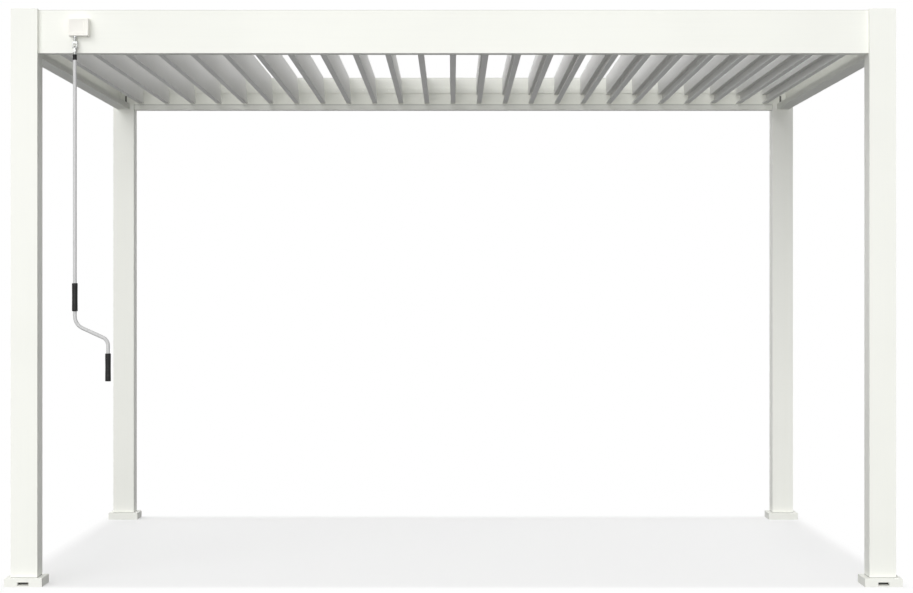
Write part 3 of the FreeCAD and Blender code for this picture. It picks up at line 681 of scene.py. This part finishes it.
# %% [markdown]
# ## Crank tube and grips
# The crank is one tube, bent twice: straight down, an S to the side, and straight down again.
# Its centre line is three straights and two arcs, so we work out where each arc starts from the
# bend radii and the slope, and carry a circle along. Two bends in one plane need no care with
# twist: the Y axis always lies across the line.

# %% Centre line of the crank
ROD_RADIUS, ROD_BORE = 8.5 * MM, 7.0 * MM
FIRST_BEND, SECOND_BEND = 60 * MM, 40 * MM
HANDLE_SLOPE = math.radians(24.5)
GRIP_TO_BEND = 22 * MM


def arc(centre, radius, start, finish, steps=14):
    """Points on an arc in the XZ plane: centre + radius * (cos a * X + sin a * Z)."""
    angle = np.linspace(start, finish, steps)[:, None]
    return centre + radius * (np.cos(angle) * X + np.sin(angle) * Z)


def handle_line():
    """The tube's centre line: three straights and two arcs. Each arc turns by 90 degrees less
    the slope, and the sloping run covers what the arcs leave of the way to the side."""
    top = np.array([joint[0], joint[1], high("crank_rod")[2]])
    end = np.array([high("crank_rod")[0] - ROD_RADIUS, joint[1], low("crank_rod")[2]])
    turn = math.pi / 2 - HANDLE_SLOPE
    arcs_cover = (FIRST_BEND + SECOND_BEND) * (1 - math.cos(turn))
    run = (end[0] - top[0] - arcs_cover) / math.cos(HANDLE_SLOPE)
    bend = np.array([top[0] + FIRST_BEND, top[1], low("upper_grip")[2] - GRIP_TO_BEND])
    upper = arc(bend, FIRST_BEND, math.pi, math.pi + turn)
    leave = upper[-1] + run * (math.cos(HANDLE_SLOPE) * X - math.sin(HANDLE_SLOPE) * Z)
    inwards = -math.sin(HANDLE_SLOPE) * X - math.cos(HANDLE_SLOPE) * Z
    lower = arc(leave + SECOND_BEND * inwards, SECOND_BEND, turn, 0.0)
    return np.concatenate([np.linspace(top, upper[0], 12)[:-1], upper, lower,
                           np.linspace(lower[-1], end, 6)[1:]])


line = handle_line()
print("crank line:", len(line), "points, from", line[0].round(4), "to", line[-1].round(4))

# %% Crank tube
MOUTH_DEPTH = 12 * MM


def tube_along(path, radius, sides=40):
    """A circle carried along a path in the XZ plane: each ring is radius * (cos a * Y + sin a *
    side), where side is at right angles to the path's direction and to Y."""
    ahead = np.gradient(path, axis=0)
    ahead /= np.linalg.norm(ahead, axis=1, keepdims=True)
    side = np.cross(ahead, Y)
    angle = np.linspace(0.0, 2 * np.pi, sides, endpoint=False)[:, None]
    spoke = np.cos(angle) * Y + np.sin(angle) * side[:, None]
    return path[:, None] + radius * spoke


outside = tube_along(line, ROD_RADIUS)
bore_ring = (outside[-1] - line[-1]) * ROD_BORE / ROD_RADIUS
mouth = line[-1] + np.stack([bore_ring, bore_ring + MOUTH_DEPTH * Z])
add_piece("crank_tube", [shell(np.concatenate([outside, mouth]))], coats["rod"], "crank",
          ["crank_rod"])

# %% [markdown]
# The two grips are plastic sleeves, which stay still in the hands while the tube turns inside.
# Each has rounded rims and a waist so faint that only a highlight shows it. They are turned
# like the collar, and the tube's own radius is their bore.

# %% Grips
GRIP_RIM, GRIP_WAIST = 3 * MM, 0.5 * MM


def grip_profile(length, radius, bore):
    """A sleeve with rounded rims and a faint waist: at a share t of the length the radius is
    less by half the waist times (1 - cos(360 t))."""
    turn = np.linspace(0.0, np.pi / 2, 6)
    top = np.column_stack([radius - GRIP_RIM * (1 - np.sin(turn)), GRIP_RIM * (1 - np.cos(turn))])
    along = np.linspace(GRIP_RIM, length - GRIP_RIM, 9)
    dip = GRIP_WAIST / 2 * (1 - np.cos(2 * np.pi * along / length))
    waist = np.column_stack([radius - dip, along])
    bottom = np.column_stack([top[::-1, 0], length - top[::-1, 1]])
    return [*top, *waist[1:-1], *bottom, (bore, length), (bore, 0.0)]


for name in ("upper_grip", "lower_grip"):
    grip_low, grip_high = low(name), high(name)
    grip_top = (*middle_of(name)[:2], grip_high[2])
    profile = grip_profile(grip_high[2] - grip_low[2], (grip_high[0] - grip_low[0]) / 2, ROD_RADIUS)
    sleeve = turned(profile, "-Z", [grip_top], sides=48)
    add_piece(f"{name}_sleeve", [shell(sleeve, "meet")], black, "crank", [name])
print("grips:", round((grip_high[2] - grip_low[2]) / MM), "mm long")

# %% [markdown]
# ## Fittings of the louvres
# Each louvre has two screws in either end plate, and on the stud of its lever a spring clip
# that keeps the drive bar on. They turn with the louvre, so each louvre carries its own.

# %% Louvre fittings
END_GAP = 24 * MM                               # from a beam's wall to a louvre's end plate
PLATE_HEAD = (3.6 * MM, 1.2 * MM)               # radius and height
PLATE_SCREW_X, PLATE_SCREWS_Z = -7 * MM, (68 * MM, -18 * MM)    # from the pivot
CLIP_RADIUS, CLIP_BORE, CLIP_HEIGHT, CLIP_GAP = 7 * MM, 4.1 * MM, 1.2 * MM, 0.4 * MM

blade_end = wall_y - END_GAP
stud = middle_of("drive_bar") - pivots["louvre_13"]
clip_profile = collar_ring(CLIP_RADIUS, CLIP_BORE, CLIP_HEIGHT)

for name in louvre_names:
    pivot = pivots[name]
    shells = []
    for facing, face in (("-Y", -blade_end), ("+Y", blade_end)):
        seats = [(pivot[0] + PLATE_SCREW_X, face, pivot[2] + z) for z in PLATE_SCREWS_Z]
        shells.append(shell(turned(button_head(*PLATE_HEAD), facing, seats, SCREW_SIDES)))
    clip_seat = (pivot[0] + stud[0], low("drive_bar")[1] - CLIP_GAP, pivot[2] + stud[2])
    shells.append(shell(turned(clip_profile, "-Y", [clip_seat], sides=18), "meet"))
    add_piece(f"{name}_fittings", shells, metals["zinc"], name)
print("blade ends:", round(blade_end, 4), "m, stud from the pivot:", stud.round(4))

# %% [markdown]
# The rails that carry the pivots are screwed to the beams half-way between the louvres. A rail's
# screws all face the same way, so one array of seats makes them one piece, painted white like
# the rail.

# %% Rail screws
RAIL_HEAD = (4.2 * MM, 2.2 * MM)                # radius and height

pivot_x = np.array([pivots[name][0] for name in louvre_names])
between = (pivot_x[1:] + pivot_x[:-1]) / 2
for rail, facing, face in (("front_pivot_rail", "+Y", high("front_pivot_rail")[1]),
                           ("rear_pivot_rail", "-Y", low("rear_pivot_rail")[1])):
    height = middle_of(rail)[2]
    seats = np.column_stack([between, np.full_like(between, face), np.full_like(between, height)])
    heads = turned(button_head(*RAIL_HEAD), facing, seats, SCREW_SIDES)
    add_piece(f"{rail}_screws", [shell(heads)], coats["small"], "frame")
print("rail screws:", 2 * len(between))

# %% [markdown]
# ## Corner liners
# At each corner the post is cut away for the first louvre to turn into, and thin liners close the
# cut in line with the beams. Each liner has a slim slot. A dark plate stands right behind it as
# painted shade, so that the slot doesn't show the white of the post. A plate with a slot has no
# ends: it is a ring of outline corners that goes over the edge, back along the slot and meets
# itself. A shade plate is a plain plate, a little larger than its slot.

# %% Walls of the corners
LINER_GAP = 0.5 * MM

post_x, post_y = high("front_beam")[0], high("right_beam")[1]
liner_foot = gutter_top + LINER_GAP
liner_height = high("front_left_post")[2] - LINER_GAP - liner_foot


def corner_walls():
    """Both walls of each corner's cut: the foot beside the beam's end, the directions across
    the wall and in towards the roof, and the width."""
    for side in (-1, 1):
        for end in (-1, 1):
            foot = np.array([side * post_x, end * wall_y, liner_foot])
            yield foot, side * X, -end * Y, wall_x - post_x
            foot = np.array([side * wall_x, end * post_y, liner_foot])
            yield foot, end * Y, -side * X, wall_y - post_y


def corner_rings(origin, across, out, layers):
    """Rings of four corners in the plane of across and Z, each layer a flat outline at a depth.
    The order is turned round where across, Z and out are left-handed."""
    rings = np.array([origin + flat[:, :1] * across + flat[:, 1:] * Z + depth * out
                      for flat, depth in layers])
    return rings if np.cross(across, Z) @ out > 0 else rings[:, ::-1]


def rectangle(left, right, bottom, top):
    """The corners of an upright rectangle, from its top right one."""
    return np.array([(right, top), (left, top), (left, bottom), (right, bottom)])


print("corner walls:", len(list(corner_walls())), "of", round(liner_height / MM), "mm height")

# %% Liners and shade plates
LINER_THICKNESS = 2 * MM
SLOT_WIDTH, SLOT_LOW, SLOT_HIGH = 11 * MM, 2 * MM, 55 * MM
SLOT_FROM_POST = 60 * MM
SHADE_PLATE_MARGIN, SHADE_PLATE_THICKNESS = 2 * MM, 2 * MM


def about_slot(half, bottom, top):
    """An upright rectangle to both sides of the slot's middle line."""
    return rectangle(SLOT_FROM_POST - half, SLOT_FROM_POST + half, bottom, top)


slot = about_slot(SLOT_WIDTH / 2, SLOT_LOW, SLOT_HIGH)
shade_plate_outline = about_slot(SLOT_WIDTH / 2 + SHADE_PLATE_MARGIN, 0.0, SLOT_HIGH - SLOT_LOW + SHADE_PLATE_MARGIN)
liners, shade_plates = [], []
for foot, across, inwards, width in corner_walls():
    outline = rectangle(0.0, width, 0.0, liner_height)
    layers = [(outline, 0.0), (outline, LINER_THICKNESS), (slot, LINER_THICKNESS), (slot, 0.0)]
    liners.append(shell(corner_rings(foot, across, inwards, layers), "meet"))
    layers = [(shade_plate_outline, 0.0), (shade_plate_outline, SHADE_PLATE_THICKNESS)]
    shade_plates.append(shell(corner_rings(foot, across, -inwards, layers)))
add_piece("corner_liners", liners, coats["small"], "frame")
# The dark plates behind the slots are painted shade, in the dark metal of the rivets.
add_piece("slot_shade_plates", shade_plates, metals["dark"], "frame")

# %% [markdown]
# ## Drain chutes
# Rain that comes down a post leaves through a slot in its foot cover. A small sheet chute leads
# it over the edge of the base plate, and it is what shines at the bottom of the dark slot. It
# is an outline in Y and Z, carried straight along X.

# %% Drain chutes
CHUTE_HALF, CHUTE_SHEET = 23.5 * MM, 1.2 * MM
LIP_IN, BEND_IN, BACK_IN = 0.6 * MM, 9.5 * MM, 60 * MM      # behind the face of the cover
LIP_HEIGHT, BEND_CLEAR, BACK_CLEAR = 5.4 * MM, 0.3 * MM, 0.6 * MM


def extruded(outline, start, finish):
    """An outline in Y and Z, anticlockwise seen from +X, carried straight from start to finish."""
    flat = np.array(outline)
    return np.array([np.column_stack([np.full(len(flat), x), flat]) for x in (start, finish)])


cover_y = high("rear_right_foot_cover")[1]
post_centre = middle_of("rear_right_post")[0]
plate_top = high("base_plates")[2]
chutes = []
for end in (-1, 1):
    for side in (-1, 1):
        lip, bend, back = (end * (cover_y - step) for step in (LIP_IN, BEND_IN, BACK_IN))
        under = [(lip, LIP_HEIGHT), (bend, plate_top + BEND_CLEAR), (back, plate_top + BACK_CLEAR)]
        outline = under + [(y, z + CHUTE_SHEET) for y, z in under[::-1]]
        middle = side * post_centre
        chutes.append(shell(extruded(outline if end < 0 else outline[::-1],
                                     middle - CHUTE_HALF, middle + CHUTE_HALF)))
add_piece("drain_chutes", chutes, coats["small"], "frame")

# %% [markdown]
# ## Floor
# The photograph stands the pergola on white and keeps only a pale, even shade beneath the
# roof. A white floor under these lamps would throw too much light up at the louvres, so the
# floor has two faces. To the camera, and in reflections, it is white and keeps a softened
# shadow close to the footprint. To every other ray it is a duller floor, which decides how
# bright the undersides of the beams and louvres are.

# %% Parts of the floor's material
FLOOR_BOUNCE = 0.18     # share of the light that the floor sends up
FLOOR_SHADE = 0.80      # share of the seen floor that takes shadows
FLOOR_GLOW = 0.25       # share of the seen floor that doesn't
SHADE_SOFTNESS = 0.06   # half the width of the shade's soft edge, metres


def seen_directly(shader):
    """1 for rays from the camera, mirrors and glass, 0 for rays that carry light: the least of
    1 and the sum of the three."""
    camera_ray = shader.node("ShaderNodeLightPath", output="Is Camera Ray")
    glossy = shader.node("ShaderNodeLightPath", output="Is Glossy Ray")
    through = shader.node("ShaderNodeLightPath", output="Is Transmission Ray")
    anything = camera_ray + glossy + through
    return shader.node("ShaderNodeMath", {"operation": "MINIMUM"}, {0: anything, 1: 1.0})


def past_edge(shader, axis):
    """How far a place lies past the pergola's edges along one axis: its distance from the
    middle less half the size."""
    distance = shader.node("ShaderNodeMath", {"operation": "ABSOLUTE"},
                           {0: shader.part_of_place(axis)})
    return distance - float(cad_box[1][axis])


def past_footprint(shader):
    """How far a place on the floor lies outside the footprint: the larger of both axes."""
    return shader.node("ShaderNodeMath", {"operation": "MAXIMUM"},
                       {0: past_edge(shader, 0), 1: past_edge(shader, 1)})


print("footprint:", [2 * round(float(half), 3) for half in cad_box[1][:2]], "m")

# %% Floor
FLOOR_REACH = 60.0


def floor_paint():
    """White to look at, with a shade near the footprint, and dull to the rays that carry light."""
    paint = Shader("floor_white", Roughness=1.0, Base_Color=rgb(*[FLOOR_BOUNCE] * 3),
                   Specular_IOR_Level=0.0)
    shaded = paint.node("ShaderNodeBsdfDiffuse", {}, {"Color": rgb(*[FLOOR_SHADE] * 3)})
    glow = paint.node("ShaderNodeEmission", {}, {"Strength": FLOOR_GLOW})
    near = paint.node("ShaderNodeAddShader", {}, {0: shaded, 1: glow})
    white = paint.node("ShaderNodeEmission", {}, {"Strength": 1.0})
    away = paint.between(past_footprint(paint), -SHADE_SOFTNESS, SHADE_SOFTNESS)
    seen = paint.node("ShaderNodeMixShader", {}, {0: away, 1: near, 2: white})
    plain = Value(paint, paint.surface.outputs[0])
    both = paint.node("ShaderNodeMixShader", {}, {0: seen_directly(paint), 1: plain, 2: seen})
    paint.tree.links.new(both.socket, paint.tree.nodes["Material Output"].inputs["Surface"])
    return paint.material


corners = np.array([(-1, -1, 0), (1, -1, 0), (1, 1, 0), (-1, 1, 0)]) * FLOOR_REACH
square = bpy.data.meshes.new("floor")
square.from_pydata(corners.tolist(), [], [(0, 1, 2, 3)])
square.materials.append(floor_paint())
floor = new_object("floor", square)
print("floor:", 2 * FLOOR_REACH, "m wide")

# %% [markdown]
# ## Light
# The photograph is a studio picture. A broad key stands in front, to the left and above, and
# makes the front faces white while the sides stay grey. A weak fill comes level from the front.
# The far gutter lies behind the front beam, out of reach of every lamp above eye level, so a
# wide panel stands low behind the camera. A soft lamp overhead draws the shade beneath the roof.
# Two fills from behind keep the back from going grey in the other views. The level one gives
# no highlights, because seen from the front its glancing gloss would wash out the posts' sides.
# The sky does the rest: to the camera it is plain white, but it lights at half of that.

# %% World
SKY_LIGHT = 0.53


def make_world(strength):
    """A sky that is white to look at and dimmer as a lamp: its strength goes from the given one
    to 1 with the largest of the camera, glossy and transmission ray flags."""
    world = bpy.data.worlds.new("sky")
    world.use_nodes = True
    tree = world.node_tree
    sky = tree.nodes["Background"]
    sky.inputs["Color"].default_value = rgb(1.0, 1.0, 1.0)
    rays = tree.nodes.new("ShaderNodeLightPath")
    seen = rays.outputs["Is Camera Ray"]
    for flag in ("Is Glossy Ray", "Is Transmission Ray"):
        either = tree.nodes.new("ShaderNodeMath")
        either.operation = "MAXIMUM"
        tree.links.new(seen, either.inputs[0])
        tree.links.new(rays.outputs[flag], either.inputs[1])
        seen = either.outputs[0]
    level = tree.nodes.new("ShaderNodeMapRange")
    level.inputs["To Min"].default_value = strength
    level.inputs["To Max"].default_value = 1.0
    tree.links.new(seen, level.inputs["Value"])
    tree.links.new(level.outputs[0], sky.inputs["Strength"])
    return world


bpy.context.scene.world = make_world(SKY_LIGHT)
print("sky: white to look at,", SKY_LIGHT, "as a lamp")

# %% Lamps
# Each distant lamp: the direction that it shines, its strength, its spread in degrees, and
# whether it gives highlights. A strength of 1 lights white to white.
SUNS = {
    "key": ((0.43, 1.0, -0.33), 0.36, 40.0, True),
    "front_fill": ((0.10, 1.0, 0.0), 0.20, 50.0, True),
    "overhead": ((0.0, 0.0, -1.0), 0.12, 12.0, True),
    "back_fill": ((0.25, -1.0, -0.15), 0.22, 50.0, True),
    "level_fill": ((0.0, -1.0, 0.0), 0.52, 30.0, False),
}
LOW_PANEL_PLACE, LOW_PANEL_TARGET = (-1.2, -12.0, 1.2), (0.0, 0.0, 1.6)
LOW_PANEL_SIZE, LOW_PANEL_WATTS = (6.0, 2.0), 290.0


def aim(lamp, direction):
    """Turn a lamp so that its own -Z, along which it shines, points in a direction."""
    lamp.rotation_mode = "QUATERNION"
    lamp.rotation_quaternion = Vector(direction).to_track_quat("-Z", "Y")


for name, (direction, strength, spread, highlights) in SUNS.items():
    light = bpy.data.lights.new(name, "SUN")
    light.energy = strength * math.pi
    light.angle = math.radians(spread)
    sun = new_object(name, light)
    sun.visible_glossy = highlights
    aim(sun, direction)

light = bpy.data.lights.new("low_panel", "AREA")
light.shape = "RECTANGLE"
light.size, light.size_y = LOW_PANEL_SIZE
light.energy = LOW_PANEL_WATTS
panel = new_object("low_panel", light)
panel.location = LOW_PANEL_PLACE
aim(panel, Vector(LOW_PANEL_TARGET) - Vector(LOW_PANEL_PLACE))
print("lamps:", ", ".join(SUNS), "and low_panel")

# %% [markdown]
# ## Camera
# The front posts' outer edges, the vanishing point and the feet fix the view: a long lens,
# level, eleven metres in front and at chest height.

# %% Camera
SENSOR = 36.0               # millimetres
PICTURE_WIDTH = 913         # pixels
FOCAL_PIXELS = 2105.0       # what a metre measures from a metre away, in pixels
EYE = (-0.005, -11.01, 1.306)
SHIFT = (0.0046, 0.0009)
FAR_CLIP = 200.0

lens = bpy.data.cameras.new("camera")
lens.sensor_width = SENSOR
lens.lens = FOCAL_PIXELS * SENSOR / PICTURE_WIDTH
lens.shift_x, lens.shift_y = SHIFT
lens.clip_end = FAR_CLIP
camera = new_object("camera", lens)
camera.location = EYE
camera.rotation_euler = (math.pi / 2, 0.0, 0.0)
bpy.context.scene.camera = camera
bpy.context.scene.view_settings.view_transform = "Standard"
print("lens:", round(lens.lens, 2), "mm")

# %% [markdown]
# ## Sizes
# The dressed pergola has to fill the same box as the solids.
